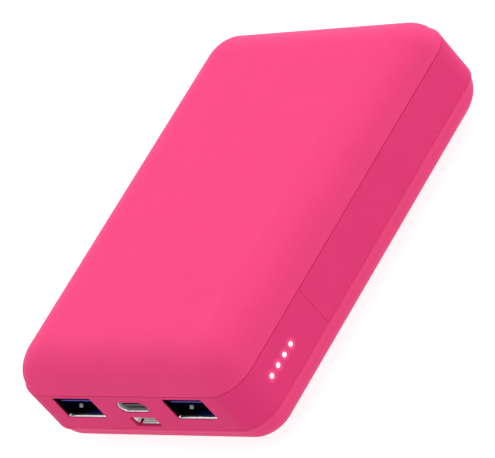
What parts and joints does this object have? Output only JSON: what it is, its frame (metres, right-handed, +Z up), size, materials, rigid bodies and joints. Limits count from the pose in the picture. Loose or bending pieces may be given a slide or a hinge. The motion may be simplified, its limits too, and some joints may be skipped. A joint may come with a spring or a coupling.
{
  "type": "power bank",
  "caption": "Pocket power bank: two domed soft-touch covers on a flat band, with charging sockets in one end, charge lamps on one side and a flush button on the other.",
  "frame": {"origin": "centre of the rectangle around the object, on the surface that it lies on", "axes": "+Z up, from the bottom cover to the top cover; +Y along the length, away from the socket end; +X to the side with the charge lamps"},
  "size_m": [0.07, 0.101, 0.0275],
  "materials": {
    "cover_plastic": "soft-touch matte",
    "band_plastic": "soft-touch matte, a little deeper",
    "lamp_lens": "clear, lit white",
    "lamp_package": "white resin",
    "black_plastic": "moulded black",
    "white_plastic": "moulded natural white",
    "blue_plastic": "moulded dark blue",
    "board_laminate": "glossy solder mask on glass-fibre laminate",
    "screw_steel": "zinc plated",
    "ferrite": "sintered, dark grey",
    "winding_copper": "enamelled copper wire",
    "can_aluminium": "drawn can",
    "chip_plastic": "moulded epoxy",
    "solder_tin": "tinned",
    "capacitor_ceramic": "fired, tan",
    "socket_steel": "folded sheet, nickel plated",
    "contact_gold": "gold plated",
    "card_washer": "pressed card",
    "nickel": "rolled nickel strip",
    "cell_steel": "nickel-plated drawn can",
    "cell_wrap": "heat-shrunk film",
    "foam": "closed-cell foam",
    "red_insulation": "silicone insulation",
    "black_insulation": "silicone insulation",
    "sensor_resin": "dipped resin bead"
  },
  "bodies": {
    "case": {"top_cover": "cover_plastic", "bottom_cover": "cover_plastic", "side_band": "band_plastic", "port_frame": "band_plastic", "light_guide": "lamp_lens", "lamp_diodes": "lamp_package", "switch_body": "black_plastic", "circuit_board": "board_laminate", "board_screws": "screw_steel", "coil_core": "ferrite", "coil_winding": "winding_copper", "can_capacitors": "can_aluminium", "power_chip": "chip_plastic", "charge_chip": "chip_plastic", "control_chip": "chip_plastic", "chip_legs": "solder_tin", "capacitors": "capacitor_ceramic", "resistors": "chip_plastic", "usb_c_shell": "socket_steel", "usb_c_tongue": "black_plastic", "usb_c_contacts": "contact_gold", "usb_c_riser": "black_plastic", "micro_usb_shell": "socket_steel", "micro_usb_tongue": "black_plastic", "micro_usb_contacts": "contact_gold", "end_washers": "card_washer", "front_strip": "nickel", "rear_strip": "nickel", "front_saddle": "white_plastic", "rear_saddle": "white_plastic", "bottom_pad": "foam", "top_pad": "foam", "red_lead": "red_insulation", "black_lead": "black_insulation", "sensor_leads": "black_insulation", "temperature_sensor": "sensor_resin", "usb_a_left_shell": "socket_steel", "usb_a_left_tongue": "blue_plastic", "usb_a_left_contacts": "contact_gold", "usb_a_right_shell": "socket_steel", "usb_a_right_tongue": "blue_plastic", "usb_a_right_contacts": "contact_gold", "cell_can_left": "cell_steel", "cell_wrap_left": "cell_wrap", "cell_cap_left": "cell_steel", "cell_can_middle": "cell_steel", "cell_wrap_middle": "cell_wrap", "cell_cap_middle": "cell_steel", "cell_can_right": "cell_steel", "cell_wrap_right": "cell_wrap", "cell_cap_right": "cell_steel"},
    "button": {"charge_button": "band_plastic", "switch_plunger": "white_plastic"}
  },
  "joints": [
    {"name": "button_press", "type": "slide", "parent": "case", "child": "button", "axis": [1, 0, 0], "range_m": [0, 0.0004], "stiffness_N_per_m": 1000, "springref_m": -0.001}
  ]
}
